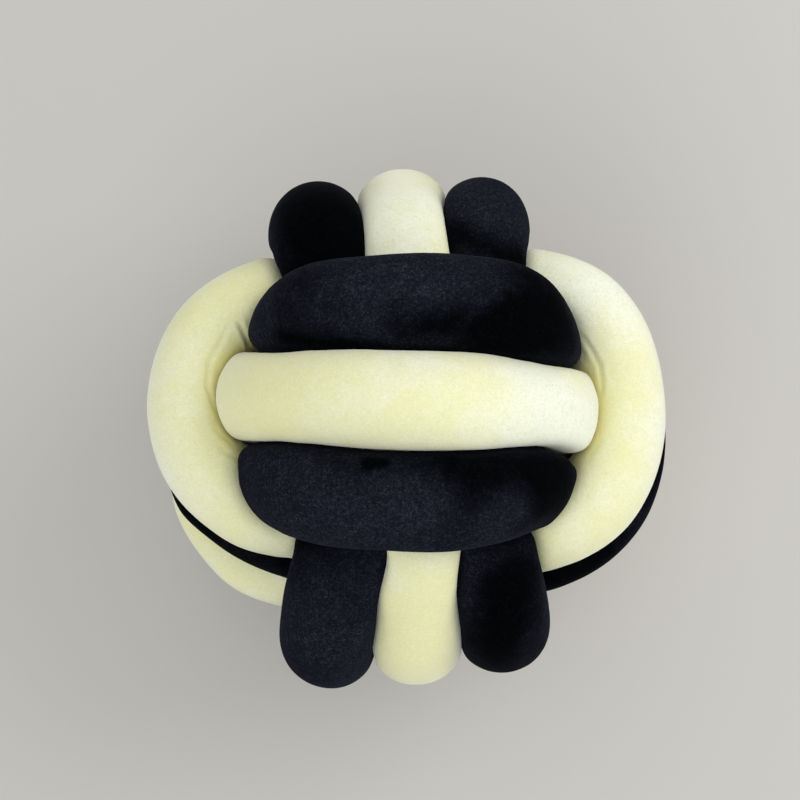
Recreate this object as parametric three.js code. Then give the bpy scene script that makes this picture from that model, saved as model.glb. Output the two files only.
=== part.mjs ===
// Knot cushion: nine stuffed velvet tubes, each closed into a flattened ring,
// laced as three bands of three that cross at right angles (a three-turn
// monkey's fist). Millimetres, +Z up through the middle of the face, origin on
// the surface it rests on, under the middle of its outline.
//
//   cross  band: runs left-right over the face, lies over the long band
//   long   band: runs top-bottom, lies over the girdle at top and bottom
//   girdle band: runs round the sides, lies over the ends of the cross band
//
// Each tube starts as a TubeGeometry along its own centre line. Where it meets
// a neighbour both are pressed flat against one shared face, and each swells
// elsewhere so that its cloth keeps its girth.
import * as THREE from "three";

// ---- driving dimensions, mm ----
const CLEARANCE = 1.0; //    left between two tubes that press on each other
const FLAT_DEPTH = 4.5; //   how deep the lowest tube is pressed flat by the surface
const STATIONS = 39; //      sections along one tube
const SIDES = 14; //         sides of one section
const MOST_SWELL = 1.32; //  a squeezed section may swell to this much of its radius
const LEAST_SWELL = 0.92;

// Axes of each band in the part's frame: the way its rings reach furthest
// (reach), the way they are flattened (depth), and the way its three tubes lie
// beside each other (side).
const BANDS = {
  cross: { reach: "z", depth: "x", side: "y" },
  long: { reach: "y", depth: "z", side: "x" },
  girdle: { reach: "x", depth: "y", side: "z" },
};

const BLACK = { color: 0x17181c, roughness: 0.9 };
const LEMON = { color: 0xece9b6, roughness: 0.85 };

// One row per tube. The centre line at angle a round its ring is
//   along reach: reachShift + reach cos a + reachBow cos 3a + reachSkew sin 2a
//   along depth: depthShift + depth sin a + depthBow sin 3a + depthSkew sin 2a
//   along side:  side + sideSpread cos 2a + sideCurl cos 4a
//                     + leanReach cos a + leanDepth sin a
// with the ring turned in its own plane by turn degrees, and its radius is
//   radius + radiusWave cos 2a.
const COLUMNS = [
  "name", "band", "cloth",
  "reach", "reachBow", "reachSkew", "depth", "depthBow", "depthSkew",
  "side", "sideSpread", "sideCurl",
  "reachShift", "depthShift", "leanReach", "leanDepth", "radius", "radiusWave",
  "turn",
];
const TUBES = [
  ["cross_near", "cross", BLACK, 125.8, -8, -1.7, 66.4, 3.9, -0.3, -38.3, -15.3, 2.8, -1.3, -3.3, 1.3, -0.6, 25.4, -1.5, -0.5],
  ["cross_mid", "cross", LEMON, 128, -4.7, -0.6, 78.7, 0.5, -1.8, 1.2, -5.2, 0.8, 3.6, -2.3, 1.8, -6.5, 25.8, -1.6, -1.3],
  ["cross_far", "cross", BLACK, 126.9, -7.5, 0.4, 68, 10.4, -1.1, 41.5, 9.5, -3.4, -1.4, 3.2, 0.2, -2.9, 25.3, -0.1, -0.1],
  ["long_left", "long", BLACK, 119.8, -2.3, 0, 69.5, 9, 0, -36.9, -13.8, 2.6, -1.2, 1.9, -1.3, -1.4, 26.3, 0.2, -1.1],
  ["long_mid", "long", LEMON, 121.2, 0.4, 0, 86.3, -1.7, 0, 1.2, -2, 0.4, 3.6, -0.6, -0.8, -0.1, 25.5, -0.1, -0.1],
  ["long_right", "long", BLACK, 119.5, -4.4, 0, 66.9, 8.8, 0, 36.5, 10.6, -1.8, 2.2, 1.5, -2.3, 0.6, 25.2, 0.2, 0],
  ["girdle_base", "girdle", LEMON, 114.5, 5.4, -3.3, 71.7, 17.1, -5.9, -37.6, -14.8, 0.9, 3.2, 0, 0.6, 0.6, 25.8, -1.7, 1.3],
  ["girdle_mid", "girdle", BLACK, 120.8, -3, -2.2, 78.8, 3.2, 1.1, -1.9, -7.1, -3.9, 4.3, 3.4, -3, -2, 22.3, 2, -5.4],
  ["girdle_top", "girdle", LEMON, 119.6, -5, -0.9, 65.5, 7.6, 4.3, 37.7, 5, -3.7, -1.9, 9.6, -1.6, 0.7, 25.2, 0.6, -2.9],
].map((row) => Object.fromEntries(COLUMNS.map((key, i) => [key, row[i]])));

class CentreLine extends THREE.Curve {
  constructor(tube) {
    super();
    this.tube = tube;
    this.axes = BANDS[tube.band];
  }
  getPoint(t, target = new THREE.Vector3()) {
    const { tube, axes } = this;
    const a = 2 * Math.PI * t;
    const out =
      tube.reachShift + tube.reach * Math.cos(a) + tube.reachBow * Math.cos(3 * a) +
      tube.reachSkew * Math.sin(2 * a);
    const deep =
      tube.depthShift + tube.depth * Math.sin(a) + tube.depthBow * Math.sin(3 * a) +
      tube.depthSkew * Math.sin(2 * a);
    const turn = THREE.MathUtils.degToRad(tube.turn);
    target[axes.reach] = out * Math.cos(turn) - deep * Math.sin(turn);
    target[axes.depth] = out * Math.sin(turn) + deep * Math.cos(turn);
    target[axes.side] =
      tube.side + tube.sideSpread * Math.cos(2 * a) + tube.sideCurl * Math.cos(4 * a) +
      tube.leanReach * Math.cos(a) + tube.leanDepth * Math.sin(a);
    return target;
  }
}

const LINE_POINTS = 300; // closely spaced points of a centre line, for finding the nearest

// A tube before it is pressed: its centre line, its sections' directions and
// its radius at each section.
function layTube(tube) {
  const line = new CentreLine(tube);
  line.arcLengthDivisions = 600;
  const geometry = new THREE.TubeGeometry(line, STATIONS, tube.radius, SIDES, true);
  const centres = [];
  const angles = [];
  for (let i = 0; i < STATIONS; i++) {
    const t = line.getUtoTmapping(i / STATIONS);
    angles.push(2 * Math.PI * t);
    centres.push(line.getPoint(t));
  }
  const normals = geometry.getAttribute("normal");
  const spokes = [];
  for (let i = 0; i < STATIONS; i++) {
    const ring = [];
    for (let j = 0; j < SIDES; j++) {
      ring.push(new THREE.Vector3().fromBufferAttribute(normals, i * (SIDES + 1) + j));
    }
    spokes.push(ring);
  }
  const radius = angles.map((a) => tube.radius + tube.radiusWave * Math.cos(2 * a));
  const points = line.getSpacedPoints(LINE_POINTS).slice(0, LINE_POINTS);
  return {
    tube,
    geometry,
    centres,
    spokes,
    points,
    radius,
    rest: radius.slice(),
    reachOut: spokes.map((ring, i) => ring.map(() => radius[i])),
  };
}

// Radius of a laid tube at point p of its LINE_POINTS.
function radiusAt(laid, p) {
  const s = (p / LINE_POINTS) * STATIONS;
  const i = Math.floor(s) % STATIONS;
  const f = s - Math.floor(s);
  return laid.radius[i] * (1 - f) + laid.radius[(i + 1) % STATIONS] * f;
}

// How far a spoke may reach before the face it shares with a neighbour: the
// point that lies as deep in the one tube as in the other, less the clearance.
function faceDistance(centre, spoke, ownRadius, start, other) {
  const at = new THREE.Vector3();
  const from = new THREE.Vector3();
  let reach = start;
  let best = start;
  for (let pass = 0; pass < 3; pass++) {
    at.copy(centre).addScaledVector(spoke, reach);
    let nearest = -1;
    let least = 80 * 80;
    for (let p = 0; p < LINE_POINTS; p++) {
      const d = at.distanceToSquared(other.points[p]);
      if (d < least) {
        least = d;
        nearest = p;
      }
    }
    if (nearest < 0) return start;
    const k = radiusAt(other, nearest) / ownRadius;
    from.copy(centre).sub(other.points[nearest]);
    const a = 1 - k * k;
    const b = 2 * (from.dot(spoke) - CLEARANCE * k);
    const c = from.lengthSq() - CLEARANCE * CLEARANCE;
    let root = Infinity;
    if (Math.abs(a) < 1e-6) {
      if (-c / b > 0) root = -c / b;
    } else if (b * b - 4 * a * c >= 0) {
      const q = Math.sqrt(b * b - 4 * a * c);
      for (const r of [(-b - q) / (2 * a), (-b + q) / (2 * a)]) {
        if (r > 0 && r < root) root = r;
      }
    }
    best = Math.min(start, root);
    reach = pass === 1 ? (reach + best) / 2 : best;
  }
  return best;
}

// Press the tubes against each other and against the surface, letting each
// section swell until its girth is what it was.
function press(laid, floor) {
  const ROUNDS = 4;
  for (let round = 0; round < ROUNDS; round++) {
    for (const own of laid) {
      for (let i = 0; i < STATIONS; i++) {
        for (let j = 0; j < SIDES; j++) {
          const spoke = own.spokes[i][j];
          let reach = own.radius[i];
          for (const other of laid) {
            if (other !== own) {
              reach = Math.min(
                reach,
                faceDistance(own.centres[i], spoke, own.radius[i], reach, other),
              );
            }
          }
          if (spoke.z < 0) {
            reach = Math.min(reach, (floor - own.centres[i].z) / spoke.z);
          }
          own.reachOut[i][j] = reach;
        }
      }
    }
    if (round === ROUNDS - 1) break;
    for (const own of laid) {
      const girth = own.reachOut.map((ring, i) => {
        let sum = 0;
        for (let j = 0; j < SIDES; j++) {
          const next = (j + 1) % SIDES;
          const p = own.spokes[i][j].clone().multiplyScalar(ring[j]);
          const q = own.spokes[i][next].clone().multiplyScalar(ring[next]);
          sum += p.distanceTo(q);
        }
        return sum;
      });
      let swollen = own.radius.map((r, i) => {
        const full = 2 * SIDES * Math.sin(Math.PI / SIDES) * own.rest[i];
        return THREE.MathUtils.clamp(
          (r * full) / girth[i],
          own.rest[i] * LEAST_SWELL,
          own.rest[i] * MOST_SWELL,
        );
      });
      for (let k = 0; k < 2; k++) {
        swollen = swollen.map(
          (r, i) =>
            (swollen[(i + STATIONS - 1) % STATIONS] + 2 * r + swollen[(i + 1) % STATIONS]) / 4,
        );
      }
      own.radius = swollen;
    }
  }
}

// Nearest point of a centre line to p: its distance and its index.
function nearestOn(laid, p, within) {
  let index = -1;
  let least = within * within;
  for (let k = 0; k < LINE_POINTS; k++) {
    const d = p.distanceToSquared(laid.points[k]);
    if (d < least) {
      least = d;
      index = k;
    }
  }
  return { index, distance: Math.sqrt(least) };
}

// A flat facet cuts across a hollow in the face that two tubes share. Pull such
// facets back until each keeps to its own side of that face.
function clearFacets(laid) {
  const KEEP = 0.35;
  const ROUNDS = 12;
  const corner = (own, i, j) => {
    const a = i % STATIONS;
    const b = j % SIDES;
    return {
      a,
      b,
      at: own.centres[a].clone().addScaledVector(own.spokes[a][b], own.reachOut[a][b]),
    };
  };
  // weights of a facet's three corners at the places where it is tested
  const TESTS = [
    [1 / 3, 1 / 3, 1 / 3],
    [1 / 2, 1 / 2, 0],
    [0, 1 / 2, 1 / 2],
    [1 / 2, 0, 1 / 2],
  ];
  for (let round = 0; round < ROUNDS; round++) {
    let worst = 0;
    for (const own of laid) {
      const pull = own.reachOut.map((ring) => ring.map(() => 0));
      for (let i = 0; i < STATIONS; i++) {
        for (let j = 0; j < SIDES; j++) {
          const quad = [corner(own, i, j), corner(own, i + 1, j), corner(own, i + 1, j + 1), corner(own, i, j + 1)];
          for (const facet of [[quad[0], quad[1], quad[3]], [quad[1], quad[2], quad[3]]]) {
            for (const w of TESTS) {
              const p = new THREE.Vector3();
              facet.forEach((c, n) => p.addScaledVector(c.at, w[n]));
              const mine = nearestOn(own, p, 60);
              for (const other of laid) {
                if (other === own) continue;
                const theirs = nearestOn(other, p, 48);
                if (theirs.index < 0) continue;
                const k = radiusAt(other, theirs.index) / radiusAt(own, mine.index);
                const short = KEEP - (theirs.distance - k * mine.distance);
                if (short <= 0) continue;
                worst = Math.max(worst, short);
                for (const c of facet) {
                  pull[c.a][c.b] = Math.max(pull[c.a][c.b], 0.55 * short);
                }
              }
            }
          }
        }
      }
      for (let i = 0; i < STATIONS; i++) {
        for (let j = 0; j < SIDES; j++) {
          own.reachOut[i][j] = Math.max(own.reachOut[i][j] - pull[i][j], 4);
        }
      }
    }
    if (worst < 0.02) break;
  }
}

const laid = TUBES.map(layTube);
const lowest = Math.min(
  ...laid.map((own) => Math.min(...own.points.map((p, i) => p.z - radiusAt(own, i)))),
);
const floor = lowest + FLAT_DEPTH;
press(laid, floor);
clearFacets(laid);

// Middle of the outline, so that the origin lies under it.
const outline = new THREE.Box3();
for (const own of laid) {
  own.skin = own.spokes.map((ring, i) =>
    ring.map((spoke, j) =>
      own.centres[i].clone().addScaledVector(spoke, own.reachOut[i][j]),
    ),
  );
  own.skin.flat().forEach((p) => outline.expandByPoint(p));
}
const middle = outline.getCenter(new THREE.Vector3());

const cushion = new THREE.Group();
cushion.name = "knot_cushion";
for (const own of laid) {
  const position = own.geometry.getAttribute("position");
  for (let i = 0; i <= STATIONS; i++) {
    for (let j = 0; j <= SIDES; j++) {
      const p = own.skin[i % STATIONS][j % SIDES];
      const z = Math.abs(p.z - floor) < 1e-3 ? 0 : p.z - floor;
      position.setXYZ(i * (SIDES + 1) + j, p.x - middle.x, p.y - middle.y, z);
    }
  }
  own.geometry.computeVertexNormals();
  const mesh = new THREE.Mesh(
    own.geometry,
    new THREE.MeshStandardMaterial({ ...own.tube.cloth, metalness: 0 }),
  );
  mesh.name = own.tube.name;
  cushion.add(mesh);
}

export default cushion;
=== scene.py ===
# Knot cushion: nine stuffed velvet tubes laced as three crossing bands of three.
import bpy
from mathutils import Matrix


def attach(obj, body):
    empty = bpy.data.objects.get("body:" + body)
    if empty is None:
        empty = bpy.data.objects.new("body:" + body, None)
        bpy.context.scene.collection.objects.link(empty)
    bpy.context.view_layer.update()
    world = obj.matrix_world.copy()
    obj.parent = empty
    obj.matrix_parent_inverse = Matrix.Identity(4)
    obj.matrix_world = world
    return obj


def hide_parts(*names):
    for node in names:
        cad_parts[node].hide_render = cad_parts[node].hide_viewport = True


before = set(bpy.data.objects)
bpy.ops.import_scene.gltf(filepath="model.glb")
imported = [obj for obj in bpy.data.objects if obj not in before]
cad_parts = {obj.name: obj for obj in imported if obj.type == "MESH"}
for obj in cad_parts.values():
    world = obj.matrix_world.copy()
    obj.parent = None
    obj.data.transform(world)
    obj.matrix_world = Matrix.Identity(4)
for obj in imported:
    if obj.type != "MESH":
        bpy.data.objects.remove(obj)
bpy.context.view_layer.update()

import math

import bpy
import numpy as np
from mathutils import Matrix, Vector, kdtree

# ---------------------------------------------------------------- sizes, mm --
# The same table and the same rule for pressed tubes as in the part's source.
COLUMNS = (
    "name", "band", "cloth",
    "reach", "reach_bow", "reach_skew", "depth", "depth_bow", "depth_skew",
    "side", "side_spread", "side_curl",
    "reach_shift", "depth_shift", "lean_reach", "lean_depth", "radius", "radius_wave",
    "turn",
)
TUBES = [
    ("cross_near", "cross", "black", 125.8, -8, -1.7, 66.4, 3.9, -0.3, -38.3, -15.3, 2.8, -1.3, -3.3, 1.3, -0.6, 25.4, -1.5, -0.5),
    ("cross_mid", "cross", "lemon", 128, -4.7, -0.6, 78.7, 0.5, -1.8, 1.2, -5.2, 0.8, 3.6, -2.3, 1.8, -6.5, 25.8, -1.6, -1.3),
    ("cross_far", "cross", "black", 126.9, -7.5, 0.4, 68, 10.4, -1.1, 41.5, 9.5, -3.4, -1.4, 3.2, 0.2, -2.9, 25.3, -0.1, -0.1),
    ("long_left", "long", "black", 119.8, -2.3, 0, 69.5, 9, 0, -36.9, -13.8, 2.6, -1.2, 1.9, -1.3, -1.4, 26.3, 0.2, -1.1),
    ("long_mid", "long", "lemon", 121.2, 0.4, 0, 86.3, -1.7, 0, 1.2, -2, 0.4, 3.6, -0.6, -0.8, -0.1, 25.5, -0.1, -0.1),
    ("long_right", "long", "black", 119.5, -4.4, 0, 66.9, 8.8, 0, 36.5, 10.6, -1.8, 2.2, 1.5, -2.3, 0.6, 25.2, 0.2, 0),
    ("girdle_base", "girdle", "lemon", 114.5, 5.4, -3.3, 71.7, 17.1, -5.9, -37.6, -14.8, 0.9, 3.2, 0, 0.6, 0.6, 25.8, -1.7, 1.3),
    ("girdle_mid", "girdle", "black", 120.8, -3, -2.2, 78.8, 3.2, 1.1, -1.9, -7.1, -3.9, 4.3, 3.4, -3, -2, 22.3, 2, -5.4),
    ("girdle_top", "girdle", "lemon", 119.6, -5, -0.9, 65.5, 7.6, 4.3, 37.7, 5, -3.7, -1.9, 9.6, -1.6, 0.7, 25.2, 0.6, -2.9),
]
TUBES = [dict(zip(COLUMNS, row)) for row in TUBES]
BANDS = {"cross": (2, 0, 1), "long": (1, 2, 0), "girdle": (0, 1, 2)}  # reach, depth, side axes
FLAT_DEPTH = 4.5  # how deep the lowest tube is pressed flat by the surface
MIDDLE = (2.114, 3.049)  # middle of the outline, from the knot's own centre
FLOOR = -141.499  # height of the surface, from the knot's own centre

# meshes
STATIONS, SIDES = 112, 28  # of the simulated cloth
FINE = {"girdle_top": (520, 130)}  # of the finished tubes
FINE_OTHERS = (384, 96)
LINE = 224  # points of a centre line, for finding the nearest

# cloth
START_GAP = 1.9  # between two tubes before they are inflated
PRESSURE = 14.0
FRAMES = 12
CLOTH_GAP = 0.8  # half of what is kept between tubes while they press on each other
MOST_MOVE = 9.0  # cap on how far a point may move
PLUMP = 0.45  # all tubes swell by this afterwards, to close the gap
SIDE_PLUMP = {"long_mid": 1.3}  # and this tube's sides by this much more, over its neighbours' edges


# ------------------------------------------------------------- centre lines --
def line_at(tube, a):
    """Points of a tube's centre line at angles a, from the knot's centre."""
    out = (
        tube["reach_shift"] + tube["reach"] * np.cos(a) + tube["reach_bow"] * np.cos(3 * a)
        + tube["reach_skew"] * np.sin(2 * a)
    )
    deep = (
        tube["depth_shift"] + tube["depth"] * np.sin(a) + tube["depth_bow"] * np.sin(3 * a)
        + tube["depth_skew"] * np.sin(2 * a)
    )
    side = (
        tube["side"] + tube["side_spread"] * np.cos(2 * a) + tube["side_curl"] * np.cos(4 * a)
        + tube["lean_reach"] * np.cos(a) + tube["lean_depth"] * np.sin(a)
    )
    turn = math.radians(tube["turn"])
    r, d, s = BANDS[tube["band"]]
    p = np.zeros((len(a), 3))
    p[:, r] = out * math.cos(turn) - deep * math.sin(turn)
    p[:, d] = out * math.sin(turn) + deep * math.cos(turn)
    p[:, s] = side
    return p


def even_angles(tube, n):
    """n angles whose points lie evenly along the centre line, and its length."""
    a = np.linspace(0, 2 * np.pi, 721)
    p = line_at(tube, a)
    along = np.concatenate([[0], np.cumsum(np.linalg.norm(np.diff(p, axis=0), axis=1))])
    return np.interp(np.arange(n) * along[-1] / n, along, a), along[-1]


def nearest(points, line):
    d2 = (points**2).sum(1)[:, None] + (line**2).sum(1)[None] - 2 * points @ line.T
    i = d2.argmin(1)
    return i, np.sqrt(np.maximum(d2[np.arange(len(points)), i], 0))


def press(gap):
    """Each tube's skin, pressed flat where it meets a neighbour or the surface, with its girth kept."""
    phi = np.arange(SIDES) * 2 * np.pi / SIDES
    laid = []
    for tube in TUBES:
        a, length = even_angles(tube, STATIONS)
        c = line_at(tube, a)
        fine, _ = even_angles(tube, LINE)
        t = np.roll(c, -1, 0) - np.roll(c, 1, 0)
        t /= np.linalg.norm(t, axis=1)[:, None]
        e = np.zeros(3)
        e[BANDS[tube["band"]][2]] = 1
        u = e - (t @ e)[:, None] * t
        u /= np.linalg.norm(u, axis=1)[:, None]
        v = np.cross(t, u)
        if np.sum((c - c.mean(0)) * v) < 0:  # v points away from the ring's middle
            v = -v
        n = np.cos(phi)[None, :, None] * u[:, None] + np.sin(phi)[None, :, None] * v[:, None]
        r = tube["radius"] + tube["radius_wave"] * np.cos(2 * a)
        laid.append(dict(c=c, n=n, r=r.copy(), rest=r, line=line_at(tube, fine), length=length))
    for round_ in range(3):
        radius = [
            np.interp(np.arange(LINE) / LINE * STATIONS, np.arange(STATIONS + 1), np.r_[a["r"], a["r"][0]])
            for a in laid
        ]
        for own in laid:
            rho = np.repeat(own["r"][:, None], SIDES, axis=1)
            for k, other in enumerate(laid):
                if other is own:
                    continue
                _, away = nearest(own["c"], other["line"])
                st = np.where(away < 75)[0]
                if not len(st):
                    continue
                c, n, base = own["c"][st][:, None], own["n"][st], rho[st]
                ra = own["r"][st][:, None]
                cur = base
                for inner in range(3):
                    x = (c + cur[..., None] * n).reshape(-1, 3)
                    i, _ = nearest(x, other["line"])
                    q = other["line"][i].reshape(n.shape)
                    kk = radius[k][i].reshape(cur.shape) / ra
                    w = c - q
                    aa = 1 - kk**2
                    bb = 2 * ((w * n).sum(-1) - gap * kk)
                    cc = (w**2).sum(-1) - gap**2
                    disc = bb**2 - 4 * aa * cc
                    sq = np.sqrt(np.maximum(disc, 0))
                    with np.errstate(all="ignore"):
                        flat = np.abs(aa) <= 1e-6
                        r1 = np.where(flat, -cc / bb, (-bb - sq) / (2 * aa))
                        r2 = np.where(flat, -cc / bb, (-bb + sq) / (2 * aa))
                    good = disc >= 0
                    r1 = np.where((r1 > 0) & good, r1, 1e9)
                    r2 = np.where((r2 > 0) & good, r2, 1e9)
                    new = np.minimum(base, np.minimum(r1, r2))
                    cur = 0.5 * (cur + new) if inner == 1 else new
                rho[st] = np.minimum(rho[st], new)
            nz = own["n"][..., 2]
            low = np.where(nz < -1e-6, (FLOOR - own["c"][:, None, 2]) / np.minimum(nz, -1e-6), 1e9)
            own["rho"] = np.minimum(rho, np.maximum(low, 2.0))
        if round_ < 2:
            for own in laid:
                s = own["rho"][..., None] * own["n"]
                girth = np.linalg.norm(np.roll(s, -1, 1) - s, axis=2).sum(1)
                full = 2 * SIDES * math.sin(math.pi / SIDES) * own["rest"]
                r = np.clip(own["r"] * full / girth, 0.92 * own["rest"], 1.32 * own["rest"])
                for _ in range(2):
                    r = (np.roll(r, 1) + 2 * r + np.roll(r, -1)) / 4
                own["r"] = r
    for own in laid:
        own["skin"] = own["c"][:, None] + own["rho"][..., None] * own["n"]
    return laid


def grid_faces(stations, sides, start=0):
    i = np.arange(stations)[:, None]
    j = np.arange(sides)[None]
    i2, j2 = (i + 1) % stations, (j + 1) % sides
    f = np.stack([i * sides + j, i2 * sides + j, i2 * sides + j2, i * sides + j2], -1)
    return f.reshape(-1, 4) + start


def outward(skin, centre):
    """True where grid_faces turns a tube's faces outward."""
    d1 = np.roll(skin, -1, 0) - skin
    d2 = np.roll(skin, -1, 1) - skin
    return np.sum(np.cross(d1, d2) * (skin - centre[:, None])) > 0


def new_mesh(name, points, faces):
    me = bpy.data.meshes.new(name)
    me.vertices.add(len(points))
    me.vertices.foreach_set("co", np.asarray(points, np.float32).ravel())
    me.loops.add(faces.size)
    me.loops.foreach_set("vertex_index", faces.astype(np.int32).ravel())
    me.polygons.add(len(faces))
    me.polygons.foreach_set("loop_start", (np.arange(len(faces)) * 4).astype(np.int32))
    me.polygons.foreach_set("use_smooth", np.ones(len(faces), bool))
    me.update(calc_edges=True)
    me.validate()
    return me


# ----------------------------------------------------------- the cloth itself --
def inflate(laid):
    """Blender's cloth: all nine tubes in one mesh, blown up against one another."""
    skins = np.stack([a["skin"] for a in laid])
    n = STATIONS * SIDES
    faces = []
    for k, a in enumerate(laid):
        f = grid_faces(STATIONS, SIDES, k * n)
        faces.append(f if outward(a["skin"], a["c"]) else f[:, ::-1])
    me = new_mesh("cloth", skins.reshape(-1, 3) / 1000, np.concatenate(faces))
    ob = bpy.data.objects.new("cloth", me)
    bpy.context.scene.collection.objects.link(ob)
    mod = ob.modifiers.new("cloth", "CLOTH")
    s = mod.settings
    s.quality = 6
    s.mass = 0.15
    s.tension_stiffness = s.compression_stiffness = 15
    s.shear_stiffness = 7.5
    s.bending_stiffness = 0.5
    s.tension_damping = s.compression_damping = s.shear_damping = 5
    s.air_damping = 1
    s.effector_weights.gravity = 0
    s.use_pressure = True
    s.uniform_pressure_force = PRESSURE
    c = mod.collision_settings
    c.use_collision = False
    c.use_self_collision = True
    c.self_distance_min = CLOTH_GAP / 1000
    c.self_friction = 0
    c.collision_quality = 3
    scene = bpy.context.scene
    scene.frame_start, scene.frame_end = 1, FRAMES
    mod.point_cache.frame_start, mod.point_cache.frame_end = 1, FRAMES
    for f in range(1, FRAMES + 1):
        scene.frame_set(f)
    done = ob.evaluated_get(bpy.context.evaluated_depsgraph_get())
    m = done.to_mesh()
    co = np.zeros(len(m.vertices) * 3, np.float32)
    m.vertices.foreach_get("co", co)
    done.to_mesh_clear()
    scene.frame_set(1)
    bpy.data.objects.remove(ob)
    bpy.data.meshes.remove(me)
    moved = co.reshape(skins.shape).astype(float) * 1000 - skins
    far = np.linalg.norm(moved, axis=-1, keepdims=True)
    # a soft cap: short moves stay, long ones level off
    moved *= np.minimum(1, MOST_MOVE / np.maximum(far, 1e-6))
    return skins + moved


# SIM_HOOK
def resample(x, stations, sides):
    """A closed grid again with more points, on smooth curves through it (Fourier along both ways)."""
    def longer(v, n, axis):
        f = np.fft.rfft(v, axis=axis)
        shape = list(f.shape)
        shape[axis] = n // 2 + 1
        g = np.zeros(shape, complex)
        keep = f.shape[axis] - (1 if v.shape[axis] % 2 == 0 else 0)
        index = [slice(None)] * f.ndim
        index[axis] = slice(0, keep)
        g[tuple(index)] = f[tuple(index)]
        return np.fft.irfft(g, n, axis=axis) * (n / v.shape[axis])
    return longer(longer(x, stations, 0), sides, 1)


def soften(x, times, w=0.5):
    for _ in range(times):
        m = (np.roll(x, 1, 0) + np.roll(x, -1, 0) + np.roll(x, 1, 1) + np.roll(x, -1, 1)) / 4
        x = x + w * (m - x)
    return x


def normals_of(x, sign):
    a = np.roll(x, -1, 0) - np.roll(x, 1, 0)
    b = np.roll(x, -1, 1) - np.roll(x, 1, 1)
    n = np.cross(a, b) * sign
    return n / np.maximum(np.linalg.norm(n, axis=-1, keepdims=True), 1e-9)


def bump_noise(points, size, seed):
    """Smooth uneven heights, about -1 to 1, from a few plane waves of about that size in mm."""
    rng = np.random.default_rng(seed)
    total = np.zeros(points.shape[:-1])
    waves = 14
    for _ in range(waves):
        d = rng.normal(size=3)
        d /= np.linalg.norm(d)
        k = 2 * np.pi / (size * rng.uniform(0.75, 1.6))
        total += np.sin(points @ (d * k) + rng.uniform(0, 2 * np.pi))
    return total / math.sqrt(waves)


# Folds pressed into the cloth: node, depth and half width in mm, then points
# along the fold, from the knot's own centre. A fold is a soft trough with low
# ridges beside it.
FOLD_COLUMNS = ("node", "depth", "half_width", "path")
FOLDS = [
    ("girdle_top", 1.0, 1.3, ((-93, 56, 71), (-101, 43, 70), (-107, 31, 70), (-109, 18, 67), (-107, 8, 65), (-103, 1, 61))),
    ("girdle_top", 1.9, 1.3, ((-94, 54, 71), (-91, 51, 70), (-89, 46, 66), (-87, 42, 60), (-85, 39, 55))),
    ("girdle_top", 0.45, 1.3, ((-108, -1, 68), (-103, -7, 67), (-98, -12, 66), (-93, -16, 64))),
    ("girdle_top", 0.4, 1.4, ((-106, -12, 68), (-101, -18, 67), (-96, -22, 65), (-91, -25, 62))),
    ("girdle_top", 1.0, 1.2, ((91, 46, 63), (95, 40, 64), (99, 34, 64), (103, 24, 64), (104, 13, 63), (103, 3, 61))),
    ("girdle_top", 0.4, 1.4, ((90, 38, 58), (94, 32, 59), (97, 26, 60))),
    ("girdle_top", 0.3, 1.6, ((103, -12, 64), (99, -20, 64), (94, -28, 62))),
    ("long_left", 0.5, 2.2, ((-60, 84, 86), (-50, 82, 90), (-40, 82, 92))),
    ("long_right", 0.5, 2.2, ((40, 80, 92), (50, 81, 89), (60, 84, 84))),
]

# Where the filling bulges, or is pushed in: node, place from the knot's own centre,
# how far round it, and the push in mm. The sides that face along the push move.
BULGE_COLUMNS = ("node", "place", "reach", "push")
BULGES = [
    ("girdle_mid", (-130, -34, 0), 27, (-4.6, -2.6, 0)),
    ("girdle_base", (-138, -32, -48), 26, (-3.8, -1.8, 0)),
    ("long_left", (-31, -76, 88), 22, (11, 0, 0)),
    ("long_mid", (-28, -76, 88), 18, (7, 0, 0)),
    ("cross_far", (-82, 42, 104), 20, (2.8, 0, 0)),
]

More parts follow.
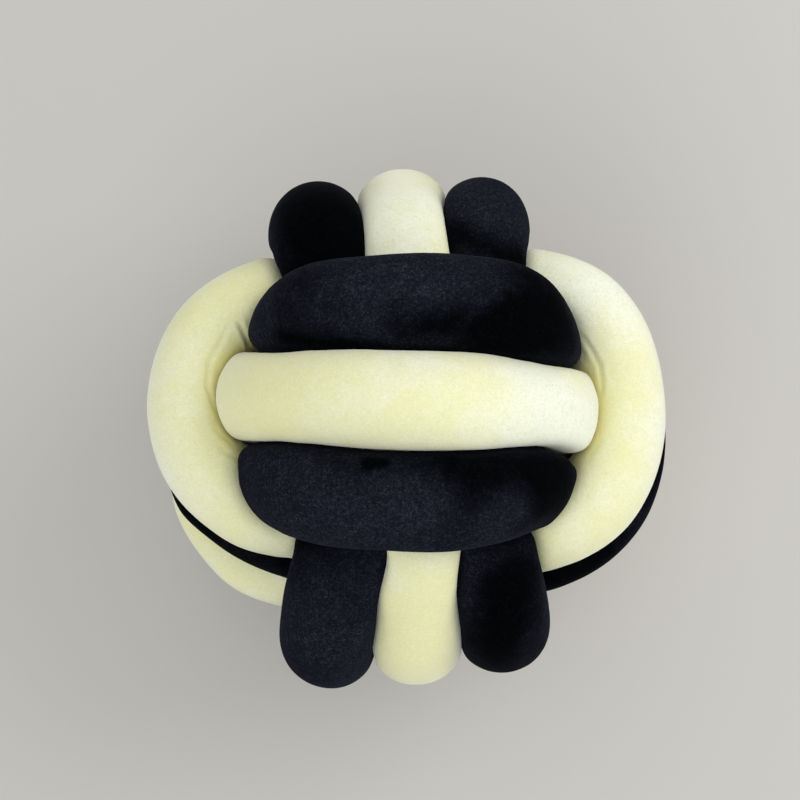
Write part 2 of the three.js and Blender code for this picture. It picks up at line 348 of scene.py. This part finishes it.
# Strokes of a hand over the pile, and painted light: node, half width in mm, how much it shows, then
# points along the stroke, from the knot's own centre. Less is darker on the black
# and yellower on the lemon; more is paler on both. The marks stand partly for pile
# that lies another way and partly for painted light: pale marks are painted sheen,
# dark and yellower ones painted shade.
PILE_AND_LIGHT_COLUMNS = ("node", "half_width", "amount", "path")
PILE_AND_LIGHT_MARKS = [
    # over the whole middle girdle: painted shade
    ("girdle_mid", 400, -0.55, ((0, 0, 0),)),
    # top left lobe, dark but for its outer edge
    ("long_left", 30, -0.95, ((-49, 122, 62), (-46, 104, 82), (-40, 88, 90))),
    ("long_left", 9, 0.35, ((-72, 120, 40), (-72, 104, 50))),
    # top right lobe, dark below a slanting edge
    ("long_right", 9, -0.7, ((26, 100, 78), (36, 89, 87), (50, 82, 87), (62, 82, 78))),
    ("long_right", 24, 0.3, ((30, 126, 52), (44, 121, 65), (60, 112, 68))),
    # upper strand of the face
    ("cross_far", 13, -0.95, ((0, 36, 143), (16, 35, 142), (34, 35, 138), (52, 38, 132))),
    ("cross_far", 19, -0.8, ((44, 34, 136), (64, 40, 127), (78, 38, 111))),
    ("cross_far", 19, -0.85, ((66, 36, 122), (78, 36, 110), (84, 30, 94))),
    ("cross_far", 12, -0.5, ((60, 60, 122), (76, 54, 104))),
    ("cross_far", 5, -0.5, ((-72, 35, 112), (-56, 30, 121), (-37, 28, 128), (-14, 27, 132))),
    ("cross_far", 24, 0.3, ((-72, 54, 108), (-40, 56, 137), (-6, 62, 142))),
    # lower strand of the face
    ("cross_near", 5.5, -1.1, ((-21, -33, 134), (-15, -33, 135))),
    ("cross_near", 16, -0.62, ((-4, -31, 136), (10, -33, 137), (28, -35, 135), (44, -37, 130))),
    ("cross_near", 22, -0.7, ((34, -38, 132), (58, -38, 120), (70, -38, 108))),
    ("cross_near", 22, -0.85, ((64, -38, 114), (76, -40, 98), (82, -46, 84), (80, -54, 76))),
    ("cross_near", 22, 0.3, ((-52, -58, 126), (-30, -62, 135), (2, -66, 137))),
    ("cross_near", 12, 0.55, ((34, -64, 128), (44, -60, 124))),
    # lower lobes
    ("long_right", 22, -0.95, ((48, -96, 78), (47, -108, 72), (46, -122, 58), (46, -134, 36), (44, -138, 10))),
    ("long_right", 16, -0.7, ((58, -104, 68), (62, -120, 50), (58, -132, 24))),
    ("long_right", 12, 0.15, ((28, -76, 86), (24, -92, 76))),
    ("long_left", 16, -0.3, ((-60, -78, 88), (-44, -78, 92), (-30, -78, 88))),
    ("long_left", 14, -0.15, ((-34, -94, 84), (-30, -110, 74))),
    ("long_left", 26, 0.25, ((-60, -100, 74), (-46, -124, 60))),
    # lemon: pale marks at the right end, along the top and on the outer edges are painted sheen; yellower marks at the
    # left end, the bottom and inside the loops are painted shade
    ("cross_mid", 36, 0.5, ((78, -6, 126), (100, -8, 96))),
    ("cross_mid", 40, -0.35, ((-84, 4, 118), (-100, 2, 96))),
    ("cross_mid", 20, 0.2, ((10, 22, 150), (36, 20, 147))),
    ("long_mid", 46, 0.5, ((0, 112, 100),)),
    ("long_mid", 30, -0.35, ((0, -118, 66), (0, -136, 34))),
    ("long_mid", 20, -0.1, ((2, -92, 92),)),
    ("girdle_top", 30, 0.45, ((82, 82, 48), (104, 66, 60))),
    ("girdle_top", 18, -0.2, ((104, 34, 66), (112, 6, 66), (108, -26, 64))),
    ("girdle_top", 30, -0.15, ((-90, 72, 60), (-104, 50, 64))),
    ("girdle_top", 30, -0.1, ((-112, -24, 66), (-104, -52, 62))),
    ("girdle_top", 16, 0.25, ((138, 34, 50), (140, -4, 50))),
    ("girdle_top", 12, 0.3, ((-138, 40, 50), (-142, 0, 50), (-136, -36, 50))),
]


def along_path(points, path):
    """Each point's distance from a path, and how far along it the nearest place is, 0 to 1."""
    path = np.asarray(path, float)
    if len(path) == 1:
        return np.linalg.norm(points - path[0], axis=-1), np.zeros(points.shape[:-1])
    best = np.full(points.shape[:-1], 1e9)
    along = np.zeros(points.shape[:-1])
    total = np.linalg.norm(np.diff(path, axis=0), axis=1).sum()
    gone = 0.0
    for a, b in zip(path[:-1], path[1:]):
        ab = b - a
        t = np.clip(((points - a) @ ab) / (ab @ ab), 0, 1)
        d = np.linalg.norm(points - a - t[..., None] * ab, axis=-1)
        closer = d < best
        best = np.where(closer, d, best)
        along = np.where(closer, (gone + t * np.linalg.norm(ab)) / total, along)
        gone += np.linalg.norm(ab)
    return best, along


def fold(points, path, depth, half):
    """How far each point goes in (negative) or out for one fold, its path laid on the skin."""
    flat = points.reshape(-1, 3)
    away, along = along_path(points, [flat[((flat - q) ** 2).sum(1).argmin()] for q in np.asarray(path, float)])
    ends = np.clip(np.minimum(along, 1 - along) / 0.3, 0, 1)
    ends = ends * ends * (3 - 2 * ends)
    u = away / half
    return depth * ends * (-np.exp(-u * u) + 0.3 * np.exp(-((u - 2.0) ** 2) / 0.9))


def bulge(points, normals, place, reach, push):
    """How each point moves for one bulge."""
    push = np.array(push, float)
    away = np.linalg.norm(points - np.array(place, float), axis=-1)
    facing = np.minimum(np.abs(normals @ push) / np.linalg.norm(push), 1) ** 0.7
    return (np.exp(-((away / reach) ** 2)) * facing)[..., None] * push


def pile_and_light(points, node):
    """How much a node is paler (positive) or darker than it lies by itself, from the listed marks: pile that lies
    another way, painted sheen and painted shade.
    """
    less, more = np.zeros(points.shape[:-1]), np.zeros(points.shape[:-1])
    for row in PILE_AND_LIGHT_MARKS:
        s = dict(zip(PILE_AND_LIGHT_COLUMNS, row))
        if s["node"] == node:
            away, _ = along_path(points, s["path"])
            shown = s["amount"] * np.exp(-((away / s["half_width"]) ** 2))
            less, more = np.minimum(less, shown), np.maximum(more, shown)
    return less + more


def nearness(skins):
    """For each point of each skin, 1 where it touches a tube of its own colour, falling to 0 a little way off."""
    out = []
    for k, skin in enumerate(skins):
        rest = np.concatenate([
            s.reshape(-1, 3) for j, s in enumerate(skins)
            if j != k and TUBES[j]["cloth"] == TUBES[k]["cloth"]
        ])
        tree = kdtree.KDTree(len(rest))
        for i, co in enumerate(rest):
            tree.insert(co, i)
        tree.balance()
        away = np.array([tree.find(co)[2] for co in skin.reshape(-1, 3)]).reshape(skin.shape[:2])
        out.append(np.exp(-np.maximum(away - 3.0, 0) / 6.5))
    return out


# ------------------------------------------------------------------ materials --
def velvet(name, low, high, deep, fleck, shade, fleck_amount, even, turn, patch, sheen, sheen_width, tint, shine, seed):
    """Short-pile velvet. low to high: colour of the pile from its own colour with painted shade
    to painted sheen, as set by the mesh attribute that holds the nap and the painted light;
    deep: painted shade in the creases between tubes, on the lemon with a painted warm reflection (attribute near);
    fleck and shade: tips of the pile that catch the light, and the dark between them,
    of which the share even shows whichever way the pile lies; turn: the values of that attribute
    between which low goes over to high."""
    m = bpy.data.materials.new(name)
    m.use_nodes = True
    nt = m.node_tree
    n, link = nt.nodes, nt.links
    bsdf = n["Principled BSDF"]
    bsdf.inputs["Roughness"].default_value = 0.92
    bsdf.inputs["Specular IOR Level"].default_value = shine
    bsdf.inputs["Sheen Weight"].default_value = sheen
    bsdf.inputs["Sheen Roughness"].default_value = sheen_width
    bsdf.inputs["Sheen Tint"].default_value = (*tint, 1)
    where = n.new("ShaderNodeTexCoord").outputs["Object"]

    def noise(scale, detail, rough=0.5, distort=0.0, offset=0.0):
        move = n.new("ShaderNodeMapping")
        move.inputs["Location"].default_value = (seed + offset, 2 * seed - offset, offset)
        link.new(where, move.inputs["Vector"])
        t = n.new("ShaderNodeTexNoise")
        t.inputs["Scale"].default_value = scale
        t.inputs["Detail"].default_value = detail
        t.inputs["Roughness"].default_value = rough
        t.inputs["Distortion"].default_value = distort
        link.new(move.outputs["Vector"], t.inputs["Vector"])
        return t.outputs["Fac"]

    def ramp(value, stops):
        r = n.new("ShaderNodeMapRange")
        r.interpolation_type = "SMOOTHSTEP"
        r.inputs["From Min"].default_value, r.inputs["From Max"].default_value = stops
        link.new(value, r.inputs["Value"])
        return r.outputs["Result"]

    def blend(a, b, f):
        x = n.new("ShaderNodeMix")
        x.data_type = "RGBA"
        for socket, v in ((x.inputs[6], a), (x.inputs[7], b)):
            if isinstance(v, tuple):
                socket.default_value = (*v, 1)
            else:
                link.new(v, socket)
        link.new(f, x.inputs[0])
        return x.outputs[2]

    def sums(a, b, how):
        x = n.new("ShaderNodeMath")
        x.operation = how
        for socket, v in zip(x.inputs, (a, b)):
            if isinstance(v, float):
                socket.default_value = v
            else:
                link.new(v, socket)
        return x.outputs[0]

    def attribute(key):
        a = n.new("ShaderNodeAttribute")
        a.attribute_name = key
        return a.outputs["Fac"]

    # the patches of nap, painted sheen and painted shade have feathered, slightly streaky edges
    streaks = sums(sums(noise(34, 4, 0.6, 0.8), -0.5, "ADD"), patch, "MULTIPLY")
    pile_and_light = ramp(sums(attribute("nap_and_painted_light"), streaks, "ADD"), turn)
    # from low, the pile's own colour and painted shade, to high, painted sheen
    colour = blend(low, high, pile_and_light)
    # tufts of pile lean a little differently; single fibres are finer still
    pile = sums(
        sums(sums(noise(620, 2, 0.6, 0.3, 3.0), 0.30, "MULTIPLY"), sums(noise(1900, 2, 0.7, 0.0, 5.0), 0.56, "MULTIPLY"), "ADD"),
        sums(noise(170, 3, 0.6, 0.6, 13.0), 0.14, "MULTIPLY"), "ADD",
    )
    shown = sums(sums(sums(pile_and_light, 1.0 - even, "MULTIPLY"), even, "ADD"), fleck_amount, "MULTIPLY")
    colour = blend(colour, fleck, sums(ramp(pile, (0.50, 0.66)), shown, "MULTIPLY"))
    colour = blend(colour, shade, sums(ramp(pile, (0.50, 0.34)), shown, "MULTIPLY"))
    # painted shade in the creases where a tube touches one of its own colour; on the lemon also a painted warm
    # reflection
    colour = blend(colour, deep, ramp(attribute("near"), (0.15, 1.5)))
    link.new(colour, bsdf.inputs["Base Color"])
    bump = n.new("ShaderNodeBump")
    bump.inputs["Strength"].default_value = 0.5
    bump.inputs["Distance"].default_value = 0.0006
    link.new(pile, bump.inputs["Height"])
    soft = n.new("ShaderNodeBump")
    soft.inputs["Strength"].default_value = 0.25
    soft.inputs["Distance"].default_value = 0.0012
    link.new(noise(110, 2, 0.5, 0.8, 9.0), soft.inputs["Height"])
    link.new(bump.outputs["Normal"], soft.inputs["Normal"])
    link.new(soft.outputs["Normal"], bsdf.inputs["Normal"])
    return m


# black: low is the pile's own black and painted shade, high painted sheen, deep painted shade in the creases
BLACK = velvet(
    "black_velvet", low=(0.0009, 0.0012, 0.0015), high=(0.0097, 0.0110, 0.0181), deep=(0.0010, 0.0012, 0.0016),
    fleck=(0.048, 0.052, 0.070), shade=(0.0012, 0.0015, 0.0026), fleck_amount=0.85, even=0.08, turn=(-0.22, 1.06), patch=1.1,
    sheen=0.03, sheen_width=0.30, tint=(0.66, 0.72, 0.92), shine=0.004, seed=3.0,
)
# lemon: low is the pile's own yellow and painted shade, high a whiter painted sheen, deep painted shade with a warm
# painted reflection in the creases
LEMON = velvet(
    "lemon_velvet", low=(0.83, 0.825, 0.44), high=(0.898, 0.924, 0.775), deep=(0.80, 0.73, 0.31),
    fleck=(0.99, 0.99, 0.86), shade=(0.72, 0.71, 0.42), fleck_amount=0.95, even=0.55, turn=(0.0, 1.0), patch=0.9,
    sheen=0.85, sheen_width=0.38, tint=(1.0, 1.0, 0.99), shine=0.06, seed=8.0,
)
CLOTHS = {"black": (BLACK, "black_velvet"), "lemon": (LEMON, "lemon_velvet")}

# -------------------------------------------------------------------- pieces --
laid = press(START_GAP)
skins = inflate(laid)
# where tubes touch: the mask of the painted crease shade
near = nearness(skins)
shift = np.array([MIDDLE[0], MIDDLE[1], FLOOR])
for k, (tube, own) in enumerate(zip(TUBES, laid)):
    skin = soften(skins[k], 2, 0.35)
    sign = 1.0 if outward(skin, own["c"]) else -1.0
    stations, sides = FINE.get(tube["name"], FINE_OTHERS)
    fine = resample(skin, stations, sides)
    nrm = normals_of(fine, sign)
    lumps = 0.16 * bump_noise(fine, 34, 10 + k) + 0.03 * bump_noise(fine, 11, 30 + k)
    sideways = SIDE_PLUMP.get(tube["name"], 0) * np.abs(nrm[..., BANDS[tube["band"]][2]])
    fine = fine + nrm * (PLUMP + sideways + np.minimum(lumps, 0.3))[..., None]
    for row in BULGES:
        b = dict(zip(BULGE_COLUMNS, row))
        if b["node"] == tube["name"]:
            fine = fine + bulge(fine, nrm, b["place"], b["reach"], b["push"])
    for row in FOLDS:
        f = dict(zip(FOLD_COLUMNS, row))
        if f["node"] == tube["name"]:
            fine = fine + nrm * fold(fine, f["path"], f["depth"], f["half_width"])[..., None]
    black = tube["cloth"] == "black"
    # random patches of the nap, then the listed marks of painted sheen and painted shade
    nap_and_painted_light = (0.62 + 0.26 * bump_noise(fine, 75, 50 + k)) if black else (0.32 + 0.12 * bump_noise(fine, 75, 50 + k))
    nap_and_painted_light += pile_and_light(fine, tube["name"])
    touch = np.clip(resample(near[k][..., None], stations, sides)[..., 0], 0, 1)
    # flat where it touches the surface
    fine[..., 2] = np.maximum(fine[..., 2], FLOOR)
    faces = grid_faces(stations, sides)
    me = new_mesh(tube["name"] + "_velvet", (fine.reshape(-1, 3) - shift) / 1000, faces if sign > 0 else faces[:, ::-1])
    for key, value in (("nap_and_painted_light", nap_and_painted_light), ("near", touch)):
        me.attributes.new(key, "FLOAT", "POINT").data.foreach_set("value", value.ravel().astype(np.float32))
    piece = bpy.data.objects.new(tube["name"] + "_velvet", me)
    bpy.context.scene.collection.objects.link(piece)
    material, slot = CLOTHS[tube["cloth"]]
    me.materials.append(material)
    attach(piece, "root")
    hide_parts(tube["name"])

# --------------------------------------------------------------------- stage --
def plain(name, colour, rough):
    m = bpy.data.materials.new(name)
    m.use_nodes = True
    b = m.node_tree.nodes["Principled BSDF"]
    b.inputs["Base Color"].default_value = (*colour, 1)
    b.inputs["Roughness"].default_value = rough
    return m


S = 30.0
floor_mesh = bpy.data.meshes.new("floor")
floor_mesh.from_pydata([(-S, -S, 0), (S, -S, 0), (S, S, 0), (-S, S, 0)], [], [(0, 1, 2, 3)])
floor_mesh.update()
floor = bpy.data.objects.new("floor", floor_mesh)
floor_mesh.materials.append(plain("floor_paint", (0.58, 0.56, 0.525), 0.9))
bpy.context.scene.collection.objects.link(floor)

world = bpy.data.worlds.new("studio")
world.use_nodes = True
world.node_tree.nodes["Background"].inputs["Color"].default_value = (0.97, 0.985, 1.0, 1)
world.node_tree.nodes["Background"].inputs["Strength"].default_value = 0.745
bpy.context.scene.world = world

CENTRE = Vector((-MIDDLE[0] / 1000, -MIDDLE[1] / 1000, -FLOOR / 1000))


def lamp(name, place, size, power, colour=(1, 1, 1)):
    light = bpy.data.lights.new(name, "AREA")
    light.shape = "SQUARE"
    light.size = size
    light.energy = power
    light.color = colour
    ob = bpy.data.objects.new(name, light)
    ob.location = place
    ob.rotation_euler = (CENTRE - Vector(place)).to_track_quat("-Z", "Y").to_euler()
    bpy.context.scene.collection.objects.link(ob)


lamp("window", (1.3, 0.55, 1.25), 1.3, 12.5, (1.0, 0.99, 0.975))
lamp("fill", (-0.5, -1.2, 1.4), 1.5, 7.5, (0.96, 0.98, 1.0))

# -------------------------------------------------------------------- camera --
# Distance from the knot's centre, height above the horizon, turn and roll in
# degrees, the picture's focal length and where the centre falls, in pixels of
# an 800 by 800 picture.
DISTANCE, ELEVATION, AZIMUTH, ROLL = 1.0, 82.85, -4.63, -1.59
FOCAL_PX, CENTRE_PX, PICTURE = 1739.0, (409.8, 430.2), 800.0


def place_camera():
    e, a, r = (math.radians(v) for v in (ELEVATION, AZIMUTH, ROLL))
    back = Vector((math.sin(a) * math.cos(e), -math.cos(a) * math.cos(e), math.sin(e)))
    up = (Vector((0, 1, 0)) - back.y * back).normalized()
    right = up.cross(back)
    right, up = math.cos(r) * right + math.sin(r) * up, -math.sin(r) * right + math.cos(r) * up
    # aim a little off the centre, so that it falls where the picture has it
    dx = (CENTRE_PX[0] - PICTURE / 2) / FOCAL_PX
    dy = -(CENTRE_PX[1] - PICTURE / 2) / FOCAL_PX
    place = CENTRE + DISTANCE * back
    axis = (back + dx * right + dy * up).normalized()
    upward = (up - up.dot(axis) * axis).normalized()
    across = upward.cross(axis)
    data = bpy.data.cameras.new("camera")
    data.sensor_width = 36.0
    data.lens = FOCAL_PX / PICTURE * 36.0
    data.clip_start = 0.05
    camera = bpy.data.objects.new("camera", data)
    bpy.context.scene.collection.objects.link(camera)
    camera.matrix_world = Matrix((
        (across.x, upward.x, axis.x, place.x),
        (across.y, upward.y, axis.y, place.y),
        (across.z, upward.z, axis.z, place.z),
        (0, 0, 0, 1),
    ))
    bpy.context.scene.camera = camera


place_camera()
bpy.context.scene.view_settings.view_transform = "Standard"
bpy.context.scene.view_settings.look = "None"
